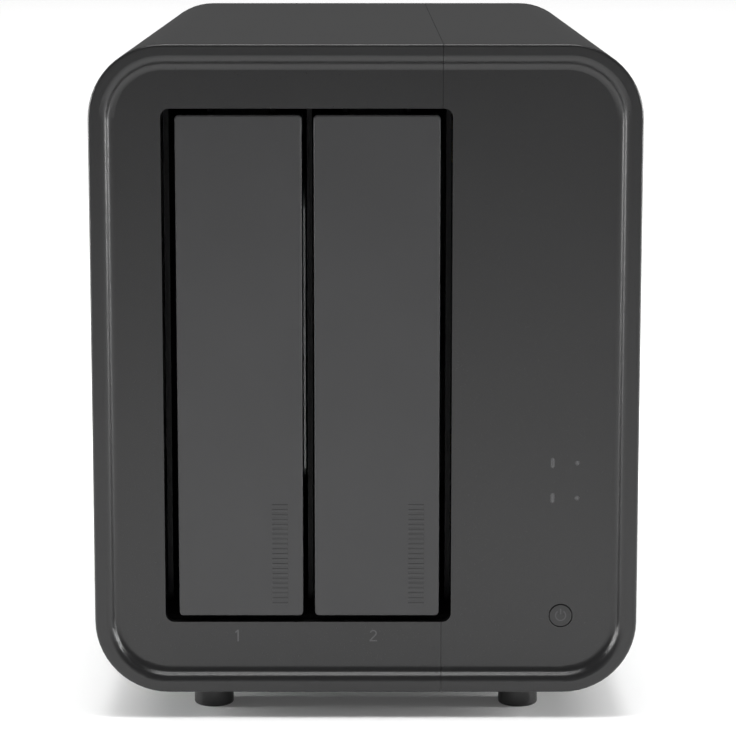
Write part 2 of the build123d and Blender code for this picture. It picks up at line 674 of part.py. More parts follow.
with BuildPart() as backup_battery:
    # the holder's dish, then the cell that stands in it
    rod((COMPONENT_X, *BATTERY_PLACE), (1, 0, 0), BATTERY_RADIUS + 1.0, 1.6)
    rod((COMPONENT_X + 1.6, *BATTERY_PLACE), (1, 0, 0), BATTERY_RADIUS, 3.2)
    fillet(backup_battery.faces().sort_by(Axis.X)[-1].edges(), 0.4)
save(backup_battery, "backup_battery")


# ---------------------------------------------------------------- ports at the back
def usb_port(z):
    """Metal USB socket with its contact tongue, facing the back."""
    half = USB_WIDTH / 2
    mouth = half - USB_SHELL
    tongue = mouth - USB_TONGUE_INSET
    block((COMPONENT_X, PORT_FACE - USB_LENGTH, z - half), (COMPONENT_X + USB_HEIGHT, PORT_FACE, z + half))
    block(
        (COMPONENT_X + USB_SHELL, PORT_FACE - USB_MOUTH_DEPTH, z - mouth),
        (COMPONENT_X + USB_HEIGHT - USB_SHELL, PORT_FACE + 1.0, z + mouth),
        Mode.SUBTRACT,
    )
    block(
        (COMPONENT_X + USB_TONGUE_X, PORT_FACE - USB_MOUTH_DEPTH - 0.5, z - tongue),
        (COMPONENT_X + USB_TONGUE_X + USB_TONGUE, PORT_FACE - 0.8, z + tongue),
    )


with BuildPart() as lan_port:
    block(
        (COMPONENT_X, PORT_FACE - LAN_LENGTH, LAN_Z - LAN_WIDTH / 2),
        (COMPONENT_X + LAN_HEIGHT, PORT_FACE, LAN_Z + LAN_WIDTH / 2),
    )
    # the mouth, then the notch that the plug's catch enters
    mouth = (LAN_FLOOR, LAN_ROOF, LAN_MOUTH / 2)
    notch = (LAN_ROOF - 0.6, LAN_CATCH, LAN_NOTCH / 2)
    for low, high, half in (mouth, notch):
        block(
            (COMPONENT_X + low, PORT_FACE - LAN_MOUTH_DEPTH, LAN_Z - half),
            (COMPONENT_X + high, PORT_FACE + 1.0, LAN_Z + half),
            Mode.SUBTRACT,
        )
save(lan_port, "lan_port")

with BuildPart() as usb_port_upper:
    usb_port(USB_Z[0])
save(usb_port_upper, "usb_port_upper")

with BuildPart() as usb_port_lower:
    usb_port(USB_Z[1])
save(usb_port_lower, "usb_port_lower")

with BuildPart() as power_inlet:
    half = INLET_WIDTH / 2
    block(
        (COMPONENT_X, PORT_FACE - INLET_LENGTH, POWER_INLET_Z - half),
        (COMPONENT_X + INLET_HEIGHT, PORT_FACE, POWER_INLET_Z + half),
    )
    bore_end = (COMPONENT_X + INLET_AXIS, PORT_FACE - INLET_BORE_DEPTH, POWER_INLET_Z)
    rod(bore_end, (0, 1, 0), INLET_BORE_RADIUS, INLET_BORE_DEPTH + 1.0, mode=Mode.SUBTRACT)
    rod(bore_end, (0, 1, 0), INLET_PIN_RADIUS, INLET_BORE_DEPTH - 1.0)
save(power_inlet, "power_inlet")

with BuildPart() as reset_switch:
    front = SWITCH_BACK - SWITCH_DEPTH
    block((COMPONENT_X, front, RESET_Z - 3.0), (COMPONENT_X + 3.4, SWITCH_BACK, RESET_Z + 3.0))
    bore = RESET_RADIUS + RESET_FIT
    rod((RESET_X, front + 1.0, RESET_Z), (0, 1, 0), bore, SWITCH_DEPTH, mode=Mode.SUBTRACT)
save(reset_switch, "reset_switch")

with BuildPart() as reset_button:
    start = SWITCH_BACK - SWITCH_DEPTH + 1.8
    rod((RESET_X, start, RESET_Z), (0, 1, 0), RESET_RADIUS, RESET_TIP - start)
    fillet(reset_button.faces().sort_by(Axis.Y)[-1].edges(), 0.2)
save(reset_button, "reset_button")

# ---------------------------------------------------------------- fan
with BuildPart() as fan_frame:
    with BuildSketch(facing_front(FAN_FRONT)):
        with Locations((FAN_X, FAN_Z)):
            RectangleRounded(FAN_SIZE, FAN_SIZE, 4.0)
            Circle(FAN_BORE, mode=Mode.SUBTRACT)
            with GridLocations(2 * FAN_HOLE, 2 * FAN_HOLE, 2, 2):
                Circle(FAN_SCREW_HOLE, mode=Mode.SUBTRACT)
    extrude(amount=-FAN_DEPTH)
    # motor mount on four struts at the back
    mount_y = REAR_BACK - MOTOR_MOUNT
    with BuildSketch(facing_front(mount_y)):
        reach = (FAN_BORE + HUB_RADIUS) / 2
        for k in range(4):
            turn = math.radians(45.0 + 90.0 * k)
            with Locations((FAN_X + reach * math.cos(turn), FAN_Z + reach * math.sin(turn))):
                Rectangle(FAN_BORE - HUB_RADIUS + 2.0, 3.0, rotation=math.degrees(turn))
        with Locations((FAN_X, FAN_Z)):
            Circle(HUB_RADIUS + 1.0)
    extrude(amount=-MOTOR_MOUNT)
    # bearing that the rotor's shaft turns in
    rod((FAN_X, mount_y, FAN_Z), (0, -1, 0), 4.0, 6.0)
    rod((FAN_X, REAR_BACK - 0.8, FAN_Z), (0, -1, 0), SHAFT_RADIUS + SHAFT_FIT, 12.0, mode=Mode.SUBTRACT)
save(fan_frame, "fan_frame")


def blade_section(turn, radius, chord, pitch):
    """Curved cross-section of a fan blade, on a plane square to the fan's radius."""
    out = Vector(math.cos(turn), 0, math.sin(turn))
    along = Vector(-math.sin(turn), 0, math.cos(turn))
    middle = Vector(FAN_X, FAN_FRONT + 12.0, FAN_Z) + out * radius
    half_x = chord / 2 * math.cos(math.radians(pitch))
    half_y = chord / 2 * math.sin(math.radians(pitch))
    with BuildSketch(Plane(middle, x_dir=along, z_dir=out)) as section:
        with BuildLine():
            ThreePointArc((-half_x, -half_y), (0.9, -1.0), (half_x, half_y))
            ThreePointArc((half_x, half_y), (1.6, -2.4), (-half_x, -half_y))
        make_face()
    return section.sketch


with BuildPart() as fan_rotor:
    rod((FAN_X, FAN_FRONT + 2.0, FAN_Z), (0, 1, 0), HUB_RADIUS, HUB_LENGTH)
    fillet(fan_rotor.faces().sort_by(Axis.Y)[0].edges(), 1.5)
    rod((FAN_X, REAR_BACK - 9.0, FAN_Z), (0, 1, 0), HUB_RADIUS - HUB_WALL, 9.0, mode=Mode.SUBTRACT)
    rod((FAN_X, FAN_FRONT + 10.0, FAN_Z), (0, 1, 0), SHAFT_RADIUS, FAN_DEPTH - 11.2)
    for k in range(BLADES):
        turn = 2 * math.pi * k / BLADES
        inner = blade_section(turn, HUB_RADIUS - 0.6, 17.0, 48.0)
        outer = blade_section(turn + 0.25, FAN_BORE - 1.7, 24.0, 30.0)
        loft([inner, outer])
save(fan_rotor, "fan_rotor")

with BuildPart() as fan_screws:
    for x in (-FAN_HOLE, FAN_HOLE):
        for z in (-FAN_HOLE, FAN_HOLE):
            pan_screw((FAN_X + x, REAR_FACE, FAN_Z + z), (0, -1, 0), 10.0, **FAN_SCREW)
save(fan_screws, "fan_screws")

with BuildPart() as panel_screws:
    for x in (-PANEL_SCREW_X, PANEL_SCREW_X):
        for z in PANEL_SCREW_Z:
            pan_screw((x, REAR_FACE, z), (0, -1, 0), 9.0, **M3_SCREW)
save(panel_screws, "panel_screws")

with BuildPart() as fan_plug:
    near_x = MAIN_BOARD_X - PLUG_DEPTH
    half = PLUG_LENGTH / 2
    block((near_x, PLUG_Y - half, PLUG_Z - 3.0), (MAIN_BOARD_X, PLUG_Y + half, PLUG_Z + 3.0))
    # the groove between the plug and its socket
    block(
        (near_x + 1.0, PLUG_Y - half + 0.6, PLUG_Z - 2.4),
        (near_x + 2.5, PLUG_Y + half - 0.6, PLUG_Z + 4.0),
        Mode.SUBTRACT,
    )
save(fan_plug, "fan_plug")

with BuildPart() as fan_lead:
    lead_route = [
        (17.5, FAN_FRONT, PLUG_Z + 10.0),
        (17.5, 75.5, PLUG_Z + 10.0),
        (13.5, PLUG_Y + 0.3, PLUG_Z + 5.0),
        (16.5, PLUG_Y, PLUG_Z),
        (MAIN_BOARD_X - PLUG_DEPTH, PLUG_Y, PLUG_Z),
    ]
    with BuildLine() as lead_line:
        FilletPolyline(*lead_route, radius=LEAD_BEND)
    with BuildSketch(Plane(lead_route[0], z_dir=(0, -1, 0))):
        Circle(LEAD_RADIUS)
    sweep(path=lead_line.line)
save(fan_lead, "fan_lead")

# ---------------------------------------------------------------- control side
with BuildPart() as indicator_board:
    with BuildSketch(facing_front(INDICATOR_Y)):
        with Locations((BUTTON_X, BOTTOM + 38.0)):
            RectangleRounded(20.0, 56.0, 1.5)
        with Locations(*[(BUTTON_X, z) for z in INDICATOR_SCREW_Z]):
            Circle(M3_HOLE, mode=Mode.SUBTRACT)
    extrude(amount=-1.2)
save(indicator_board, "indicator_board")

with BuildPart() as small_board_screws:
    for z in INDICATOR_SCREW_Z:
        pan_screw((BUTTON_X, INDICATOR_Y + SHEET, z), (0, -1, 0), 4.5, **M3_SCREW)
    for x in BACKPLANE_SCREW_X:
        for side in (-1, 1):
            seat = (x, BACKPLANE_FRONT, TRAY_MID + side * (CAGE_HALF - BACK_SCREW_INSET))
            pan_screw(seat, (0, 1, 0), 4.5, **M3_SCREW)
save(small_board_screws, "small_board_screws")

with BuildPart() as light_pipes:
    with BuildSketch(facing_front(PANEL_FACE)):
        for z in WINDOW_Z:
            with Locations((SLOT_WINDOW_X, z)):
                slot_window()
            with Locations((DOT_WINDOW_X, z)):
                Circle(DOT_WINDOW_RADIUS)
    extrude(amount=-PIPE_LENGTH)
    # collar that rests against the back of the panel
    for x in (SLOT_WINDOW_X, DOT_WINDOW_X):
        for z in WINDOW_Z:
            rod((x, PANEL_BACK, z), (0, 1, 0), PIPE_COLLAR_RADIUS, PIPE_COLLAR)
save(light_pipes, "light_pipes")

with BuildPart() as power_switch:
    half = SWITCH_SIZE / 2
    front = INDICATOR_Y - SWITCH_HEIGHT
    block((BUTTON_X - half, front, BUTTON_Z - half), (BUTTON_X + half, INDICATOR_Y, BUTTON_Z + half))
    rod((BUTTON_X, front, BUTTON_Z), (0, -1, 0), 1.7, 0.7)
save(power_switch, "power_switch")

with BuildPart() as power_button:
    rod((BUTTON_X, PANEL_FACE, BUTTON_Z), (0, 1, 0), BUTTON_RADIUS, WALL + 0.3)
    fillet(power_button.faces().sort_by(Axis.Y)[0].edges(), 0.25)
    # collar that keeps the button in, and the stem that meets the switch
    rod((BUTTON_X, PANEL_BACK + 0.2, BUTTON_Z), (0, 1, 0), BUTTON_RADIUS + BUTTON_COLLAR, 0.9)
    rod((BUTTON_X, PANEL_BACK + 1.0, BUTTON_Z), (0, 1, 0), BUTTON_STEM_RADIUS, 1.0)
save(power_button, "power_button")

# ---------------------------------------------------------------- feet
for side, x in [("left", -FOOT_X), ("right", FOOT_X)]:
    for end, y in [("front", FOOT_Y[0]), ("back", FOOT_Y[1])]:
        with BuildPart() as foot:
            rod((x, y, 0.0), (0, 0, 1), FOOT_RADIUS, FOOT_HEIGHT)
            fillet(foot.faces().sort_by(Axis.Z)[0].edges(), FOOT_EDGE_RADIUS)
            rod((x, y, FOOT_HEIGHT), (0, 0, 1), PEG_RADIUS, WALL + 0.8)
        save(foot, f"foot_{end}_{side}")

# ---------------------------------------------------------------- the two trays and what each one holds
for number, middle_x in enumerate(TRAY_X, start=1):
    board_x = middle_x - DRIVE_TO_LEFT
    hole_x = board_x + DRIVE_HOLE_FROM_BOARD
    case_right = board_x + DRIVE_THICKNESS - 1.0

    with BuildPart() as tray_frame:
        half = FRAME_WIDTH / 2
        # side plate, cut back at the top where the handle swings in
        with BuildSketch(facing_right(middle_x - half)):
            with BuildLine():
                Polyline(
                    (CROSS_FRONT, TRAY_MID - RAIL_OUTER),
                    (TRAY_BACK, TRAY_MID - RAIL_OUTER),
                    (TRAY_BACK, TRAY_MID + RAIL_OUTER),
                    (RAIL_TOP_FRONT, TRAY_MID + RAIL_OUTER),
                    (RAIL_TOP_FRONT, TRAY_MID + 40.0),
                    (CROSS_FRONT, TRAY_MID + 36.0),
                    close=True,
                )
            make_face()
            for y in TRAY_WINDOW_Y:
                for z in TRAY_WINDOW_Z:
                    with Locations((y, TRAY_MID + z)):
                        RectangleRounded(*TRAY_WINDOW, mode=Mode.SUBTRACT)
        extrude(amount=SHEET)
        # rails above and below the drive, and the runners on them
        for side in (-1, 1):
            start = CROSS_FRONT if side < 0 else RAIL_TOP_FRONT
            low, high = sorted((TRAY_MID + side * RAIL_INNER, TRAY_MID + side * RAIL_OUTER))
            block((middle_x - half, start, low), (middle_x + half, TRAY_BACK, high))
            low, high = sorted((TRAY_MID + side * RAIL_OUTER, TRAY_MID + side * RUNNER_OUTER))
            block((middle_x - 6.0, -88.0, low), (middle_x + 6.0, TRAY_BACK, high))
            # recess for the drive clip on the inner face of the rail, and its pin holes
            recess = RAIL_INNER + CLIP_THICKNESS + 0.1
            low, high = sorted((TRAY_MID + side * (RAIL_INNER - 1.0), TRAY_MID + side * recess))
            block(
                (hole_x - CLIP_HALF - 0.1, CLIP_FRONT - 0.1, low),
                (hole_x + CLIP_HALF + 0.1, CLIP_FRONT + CLIP_LENGTH + 0.1, high),
                Mode.SUBTRACT,
            )
        # front cross plate with air slots
        block(
            (middle_x - half, CROSS_FRONT, TRAY_MID - RAIL_INNER),
            (middle_x + half, CROSS_BACK, TRAY_MID + 36.0),
        )
        with BuildSketch(facing_front(CROSS_FRONT - 1.0)):
            for x in (-7.5, 7.5):
                for k in range(6):
                    with Locations((middle_x + x, TRAY_MID - 33.0 + 12.0 * k)):
                        SlotOverall(10.0, 6.0)
        extrude(amount=-5.0, mode=Mode.SUBTRACT)
        # ears that hold the hinge pin
        for x in (-6.6, 4.6):
            with BuildSketch(facing_right(middle_x + x)):
                with BuildLine():
                    Polyline(
                        (CROSS_BACK, TRAY_MID + 30.0),
                        (CROSS_BACK, TRAY_MID + 38.0),
                        (HINGE_Y, HINGE_Z + 1.9),
                        (HINGE_Y - 1.0, HINGE_Z - 1.6),
                        (CROSS_FRONT, TRAY_MID + 30.0),
                        close=True,
                    )
                make_face()
                with Locations((HINGE_Y, HINGE_Z)):
                    Circle(2.0)
                    Circle(HINGE_PIN_RADIUS + HINGE_FIT, mode=Mode.SUBTRACT)
            extrude(amount=2.0)
        # boss and bore of the push latch
        rod((middle_x, CROSS_FRONT, LATCH_Z), (0, -1, 0), 4.0, 3.0)
        bore = LATCH_RADIUS + LATCH_FIT
        rod((middle_x, CROSS_FRONT - 4.0, LATCH_Z), (0, 1, 0), bore, 5.4, mode=Mode.SUBTRACT)
    save(tray_frame, f"tray_{number}_frame")

    with BuildPart() as tray_clips:
        for side in (-1, 1):
            outer = RAIL_INNER + CLIP_THICKNESS
            low, high = sorted((TRAY_MID + side * RAIL_INNER, TRAY_MID + side * outer))
            block(
                (hole_x - CLIP_HALF, CLIP_FRONT, low),
                (hole_x + CLIP_HALF, CLIP_FRONT + CLIP_LENGTH, high),
            )
            for y in DRIVE_HOLE_Y:
                rod((hole_x, y, TRAY_MID + side * RAIL_INNER), (0, 0, -side), 1.4, 2.6)
    save(tray_clips, f"tray_{number}_clips")

    with BuildPart() as drive_case:
        with BuildSketch(facing_right(board_x)):
            with Locations(((DRIVE_FRONT + DRIVE_BACK) / 2, TRAY_MID)):
                RectangleRounded(DRIVE_LENGTH, DRIVE_HEIGHT, 3.0)
        extrude(amount=case_right - board_x)
        # pocket for the circuit board
        block(
            (board_x - 1.0, DRIVE_BOARD_FRONT - 0.2, TRAY_MID - DRIVE_BOARD_LOW - 0.2),
            (board_x + BOARD, DRIVE_BACK + 1.0, TRAY_MID + DRIVE_BOARD_HIGH + 0.2),
            Mode.SUBTRACT,
        )
        # recess for the connector at the back
        block(
            (hole_x - 3.2, DRIVE_BACK - 3.4, CONNECTOR_Z - 21.5),
            (hole_x + 3.2, DRIVE_BACK + 1.0, CONNECTOR_Z + 21.5),
            Mode.SUBTRACT,
        )
        for side in (-1, 1):
            outside = TRAY_MID + side * (DRIVE_HEIGHT / 2 + 1.0)
            for y in DRIVE_HOLE_Y:
                rod((hole_x, y, outside), (0, 0, -side), 1.5, 4.2, mode=Mode.SUBTRACT)
    save(drive_case, f"drive_{number}_case")

    with BuildPart() as drive_cover:
        with BuildSketch(facing_right(case_right)):
            with Locations(((DRIVE_FRONT + DRIVE_BACK) / 2, TRAY_MID)):
                RectangleRounded(DRIVE_LENGTH - 4.0, DRIVE_HEIGHT - 3.0, 4.0)
        extrude(amount=0.6)
        with BuildSketch(facing_right(case_right + 0.6)):
            with Locations((DRIVE_FRONT + 90.0, TRAY_MID)):
                Circle(44.0)
            with Locations((DRIVE_FRONT + 56.0, TRAY_MID)):
                RectangleRounded(44.0, 78.0, 8.0)
        extrude(amount=0.4)
    save(drive_cover, f"drive_{number}_cover")

    with BuildPart() as drive_board:
        block(
            (board_x, DRIVE_BOARD_FRONT, TRAY_MID - DRIVE_BOARD_LOW),
            (board_x + BOARD, DRIVE_BACK - 0.4, TRAY_MID + DRIVE_BOARD_HIGH),
        )
    save(drive_board, f"drive_{number}_board")

    with BuildPart() as tray_handle:
        with BuildSketch(facing_front(PANEL_FACE)):
            with Locations((middle_x, TRAY_MID)):
                RectangleRounded(TRAY_WIDTH, TRAY_HEIGHT, 1.0)
        extrude(amount=-WALL)
        fillet(tray_handle.faces().sort_by(Axis.Y)[0].edges(), 0.4)
        # stiffening ribs and the two hinge lugs on its back
        for x in (-12.6, 11.4):
            block(
                (middle_x + x, PANEL_BACK, TRAY_MID - 50.0),
                (middle_x + x + SHEET, PANEL_BACK + 2.2, TRAY_MID + 36.0),
            )
        for x in (-9.0, 7.0):
            with BuildSketch(facing_right(middle_x + x)):
                with Locations((HINGE_Y, HINGE_Z)):
                    Circle(2.2)
                with Locations(((PANEL_BACK + HINGE_Y) / 2, HINGE_Z)):
                    Rectangle(HINGE_Y - PANEL_BACK, 4.4)
                with Locations((HINGE_Y, HINGE_Z)):
                    Circle(HINGE_PIN_RADIUS, mode=Mode.SUBTRACT)
            extrude(amount=2.0)
    save(tray_handle, f"tray_{number}_handle")

    with BuildPart() as hinge_pin:
        rod((middle_x - 9.2, HINGE_Y, HINGE_Z), (1, 0, 0), HINGE_PIN_RADIUS, 18.4)
    save(hinge_pin, f"tray_{number}_hinge_pin")

    with BuildPart() as latch_plunger:
        rod((middle_x, PANEL_BACK + LATCH_GAP, LATCH_Z), (0, 1, 0), LATCH_RADIUS, LATCH_LENGTH)
        fillet(latch_plunger.faces().sort_by(Axis.Y)[0].edges(), 0.8)
    save(latch_plunger, f"tray_{number}_latch_plunger")

    with BuildPart() as latch_spring:
        coil_start = PANEL_BACK + LATCH_GAP + LATCH_LENGTH + 0.2
        with BuildLine() as coil:
            Helix(
                pitch=SPRING_PITCH,
                height=SPRING_PITCH * SPRING_TURNS,
                radius=SPRING_RADIUS,
                center=(middle_x, coil_start, LATCH_Z),
                direction=(0, 1, 0),
            )
        with BuildSketch(Plane(coil.line @ 0, z_dir=coil.line % 0)):
            Circle(SPRING_WIRE)
        sweep(path=coil.line, is_frenet=True)
    save(latch_spring, f"tray_{number}_latch_spring")
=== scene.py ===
import json
import math

import bmesh
import bpy
from mathutils import Matrix, Vector


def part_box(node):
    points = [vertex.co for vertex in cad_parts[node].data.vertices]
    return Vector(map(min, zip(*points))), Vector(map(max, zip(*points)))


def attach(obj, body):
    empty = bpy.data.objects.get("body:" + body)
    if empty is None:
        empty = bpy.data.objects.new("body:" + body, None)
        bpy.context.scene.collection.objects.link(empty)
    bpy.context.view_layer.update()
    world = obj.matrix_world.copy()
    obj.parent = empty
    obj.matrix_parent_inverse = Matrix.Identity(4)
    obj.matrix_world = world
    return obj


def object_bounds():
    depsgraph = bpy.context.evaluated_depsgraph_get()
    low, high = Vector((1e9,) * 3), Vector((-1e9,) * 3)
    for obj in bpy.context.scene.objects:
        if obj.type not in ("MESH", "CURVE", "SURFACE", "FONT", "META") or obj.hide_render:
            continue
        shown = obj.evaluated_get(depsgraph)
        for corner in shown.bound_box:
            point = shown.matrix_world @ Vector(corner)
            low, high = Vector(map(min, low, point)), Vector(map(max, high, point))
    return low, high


MM = 0.001

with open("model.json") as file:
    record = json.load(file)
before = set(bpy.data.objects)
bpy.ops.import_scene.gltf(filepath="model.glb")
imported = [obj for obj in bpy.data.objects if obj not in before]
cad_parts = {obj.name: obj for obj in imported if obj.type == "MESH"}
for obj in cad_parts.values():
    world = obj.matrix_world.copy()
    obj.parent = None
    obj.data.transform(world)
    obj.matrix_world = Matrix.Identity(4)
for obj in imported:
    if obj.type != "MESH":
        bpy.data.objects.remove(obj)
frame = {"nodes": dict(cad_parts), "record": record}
nodes = frame["nodes"]
cad_low, cad_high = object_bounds()

# camera: sensor and lens in millimetres, metres from the casing's front and top, tilt in degrees
SENSOR = 36.0
LENS = 144.5
CAMERA_SIDE = 0.0005
CAMERA_BACK = 0.6474
CAMERA_UP = 0.0352
CAMERA_TILT = 9.37

FLOOR_HALF = 6.0
WALLS_LIGHT = 0.145
WALLS_SEEN = 0.97
FLOOR_GLOW = 0.05

# lamps: where they are, the point they face, their width and height, watts, and whether gloss shows them
FRONT_POINT = (0.0, cad_low.y, 0.08)
SIDE_SIZE = (0.14, 0.5)
LAMPS = {
    "ceiling": ((0.0, 2.2, 3.5), (0.0, 2.2, 0.0), (8.0, 7.0), 280.0, False),
    "front_wall": ((0.0, -3.0, 1.6), FRONT_POINT, (5.0, 1.6), 2.0, True),
    "top_box": ((0.0, -0.12, 1.0), FRONT_POINT, (0.55, 0.26), 5.5, True),
    "left_strip": ((-1.1, -0.12, 0.22), FRONT_POINT, SIDE_SIZE, 11.5, True),
    "right_strip": ((1.1, -0.12, 0.22), FRONT_POINT, SIDE_SIZE, 13.0, True),
}


# ---------------------------------------------------------------- camera, floor and light
def aim(obj, target):
    """Turn a camera or lamp to look at a point."""
    obj.rotation_euler = (Vector(target) - obj.location).to_track_quat("-Z", "Y").to_euler()


def make_camera():
    """Long lens, a little above the casing, looking slightly down at the front."""
    data = bpy.data.cameras.new("camera")
    data.sensor_width = SENSOR
    data.lens = LENS
    data.clip_start = 0.01
    data.clip_end = 50.0
    camera = bpy.data.objects.new("camera", data)
    bpy.context.scene.collection.objects.link(camera)
    camera.location = (CAMERA_SIDE, cad_low.y - CAMERA_BACK, cad_high.z + CAMERA_UP)
    camera.rotation_euler = (math.radians(90.0 - CAMERA_TILT), 0.0, 0.0)
    bpy.context.scene.camera = camera


def make_floor(material):
    """A wide pale floor that the feet stand on."""
    corners = [(x * FLOOR_HALF, y * FLOOR_HALF, 0) for x, y in ((-1, -1), (1, -1), (1, 1), (-1, 1))]
    mesh = bpy.data.meshes.new("floor")
    mesh.from_pydata(corners, [], [(0, 1, 2, 3)])
    floor = bpy.data.objects.new("floor", mesh)
    bpy.context.scene.collection.objects.link(floor)
    mesh.materials.append(material)


def area_light(name, place, target, size, power, mirrored):
    """A soft rectangular lamp aimed at a point; mirrored says whether glossy surfaces show it."""
    data = bpy.data.lights.new(name, "AREA")
    data.shape = "RECTANGLE"
    data.size, data.size_y = size
    data.energy = power
    lamp = bpy.data.objects.new(name, data)
    bpy.context.scene.collection.objects.link(lamp)
    lamp.location = place
    lamp.visible_camera = False
    lamp.visible_glossy = mirrored
    aim(lamp, target)


def make_world():
    """Dim even surroundings that the camera sees as pale walls."""
    world = bpy.data.worlds.new("studio")
    world.use_nodes = True
    tree = world.node_tree
    background = tree.nodes["Background"]
    background.inputs["Color"].default_value = (1.0, 1.0, 1.0, 1.0)
    seen = tree.nodes.new("ShaderNodeLightPath").outputs["Is Camera Ray"]
    tree.links.new(spread(tree, seen, WALLS_LIGHT, WALLS_SEEN), background.inputs["Strength"])
    bpy.context.scene.world = world


def make_light():
    """Ceiling, a wall of light in front, a softbox over the front edge and a strip at each side."""
    for name, lamp in LAMPS.items():
        area_light(name, *lamp)
    view = bpy.context.scene.view_settings
    view.view_transform = "Standard"
    view.look = "None"


# ---------------------------------------------------------------- materials
def new_material(name):
    """An empty node material: its tree, its shader and the object-space coordinates."""
    material = bpy.data.materials.new(name)
    material.use_nodes = True
    tree = material.node_tree
    shader = tree.nodes["Principled BSDF"]
    place = tree.nodes.new("ShaderNodeTexCoord").outputs["Object"]
    return material, tree, shader, place


def noise(tree, place, size_mm, detail=2.0, roughness=0.5):
    """Noise whose grains are about size_mm across."""
    node = tree.nodes.new("ShaderNodeTexNoise")
    node.inputs["Scale"].default_value = 1.0 / (size_mm * MM)
    node.inputs["Detail"].default_value = detail
    node.inputs["Roughness"].default_value = roughness
    tree.links.new(place, node.inputs["Vector"])
    return node.outputs["Fac"]


def ramp(tree, factor, stops):
    """A colour ramp from a list of (position, colour)."""
    node = tree.nodes.new("ShaderNodeValToRGB")
    elements = node.color_ramp.elements
    while len(elements) < len(stops):
        elements.new(0.5)
    for element, (position, colour) in zip(elements, stops):
        element.position = position
        element.color = (*colour, 1.0)
    tree.links.new(factor, node.inputs["Fac"])
    return node.outputs["Color"]


def spread(tree, factor, low, high):
    """Map a 0 to 1 value onto low to high."""
    node = tree.nodes.new("ShaderNodeMapRange")
    node.inputs["To Min"].default_value = low
    node.inputs["To Max"].default_value = high
    tree.links.new(factor, node.inputs["Value"])
    return node.outputs["Result"]


def bump(tree, height, depth_mm, strength=1.0, under=None):
    """A bump of a given depth, on top of another bump if one is given."""
    node = tree.nodes.new("ShaderNodeBump")
    node.inputs["Strength"].default_value = strength
    node.inputs["Distance"].default_value = depth_mm * MM
    tree.links.new(height, node.inputs["Height"])
    if under is not None:
        tree.links.new(under, node.inputs["Normal"])
    return node.outputs["Normal"]


def tinted(colour, share):
    """The colour, lighter or darker by a share."""
    return tuple(min(1.0, c * (1.0 + share)) for c in colour)


def moulded(name, colour, roughness=0.5, grain_mm=0.28, depth_mm=0.012, cloud=0.06, specular=0.5):
    """Moulded plastic with a spark-eroded grain and faint clouding."""
    material, tree, shader, place = new_material(name)
    clouds = noise(tree, place, 26.0, 3.0)
    shade = ramp(tree, clouds, [(0.3, tinted(colour, -cloud)), (0.7, tinted(colour, cloud))])
    tree.links.new(shade, shader.inputs["Base Color"])
    grain = noise(tree, place, grain_mm, 2.0)
    tree.links.new(spread(tree, grain, roughness - 0.06, roughness + 0.06), shader.inputs["Roughness"])
    tree.links.new(bump(tree, grain, depth_mm), shader.inputs["Normal"])
    shader.inputs["Specular IOR Level"].default_value = specular
    return material


def metal(name, colour, roughness=0.3, streak_mm=0.15, stretch=(1.0, 1.0, 1.0), depth_mm=0.004):
    """Metal whose fine marks can be stretched along one direction."""
    material, tree, shader, place = new_material(name)
    mapping = tree.nodes.new("ShaderNodeMapping")
    mapping.inputs["Scale"].default_value = stretch
    tree.links.new(place, mapping.inputs["Vector"])
    marks = noise(tree, mapping.outputs["Vector"], streak_mm, 3.0, 0.6)
    stains = noise(tree, place, 9.0, 3.0)
    shade = ramp(tree, stains, [(0.3, tinted(colour, -0.08)), (0.7, tinted(colour, 0.05))])
    tree.links.new(shade, shader.inputs["Base Color"])
    tree.links.new(spread(tree, marks, roughness - 0.08, roughness + 0.1), shader.inputs["Roughness"])
    tree.links.new(bump(tree, marks, depth_mm), shader.inputs["Normal"])
    shader.inputs["Metallic"].default_value = 1.0
    return material


def circuit(name, plane, mask=(0.008, 0.07, 0.03)):
    """Solder mask over copper tracks, drawn on the two axes named by plane."""
    material, tree, shader, place = new_material(name)
    split = tree.nodes.new("ShaderNodeSeparateXYZ")
    tree.links.new(place, split.inputs[0])
    flat = tree.nodes.new("ShaderNodeCombineXYZ")
    tree.links.new(split.outputs[plane[0]], flat.inputs["X"])
    tree.links.new(split.outputs[plane[1]], flat.inputs["Y"])
    bricks = tree.nodes.new("ShaderNodeTexBrick")
    bricks.inputs["Scale"].default_value = 1.0 / (6.0 * MM)
    bricks.inputs["Mortar Size"].default_value = 0.045
    bricks.inputs["Color1"].default_value = (0.0, 0.0, 0.0, 1.0)
    bricks.inputs["Color2"].default_value = (0.35, 0.35, 0.35, 1.0)
    bricks.inputs["Mortar"].default_value = (1.0, 1.0, 1.0, 1.0)
    bricks.offset = 0.37
    bricks.squash = 1.6
    tree.links.new(flat.outputs["Vector"], bricks.inputs["Vector"])
    stops = [(0.0, mask), (0.4, tinted(mask, 0.35)), (1.0, tinted(mask, 1.3))]
    tracks = ramp(tree, bricks.outputs["Color"], stops)
    tree.links.new(tracks, shader.inputs["Base Color"])
    tree.links.new(bump(tree, bricks.outputs["Fac"], 0.03, 0.6), shader.inputs["Normal"])
    shader.inputs["Roughness"].default_value = 0.28
    return material


def smoked(name, colour):
    """Tinted clear plastic of a light window that is off."""
    material, tree, shader, place = new_material(name)
    shade = ramp(tree, noise(tree, place, 0.6), [(0.3, colour), (0.7, tinted(colour, 0.15))])
    tree.links.new(shade, shader.inputs["Base Color"])
    shader.inputs["Roughness"].default_value = 0.12
    shader.inputs["Coat Weight"].default_value = 0.5
    return material


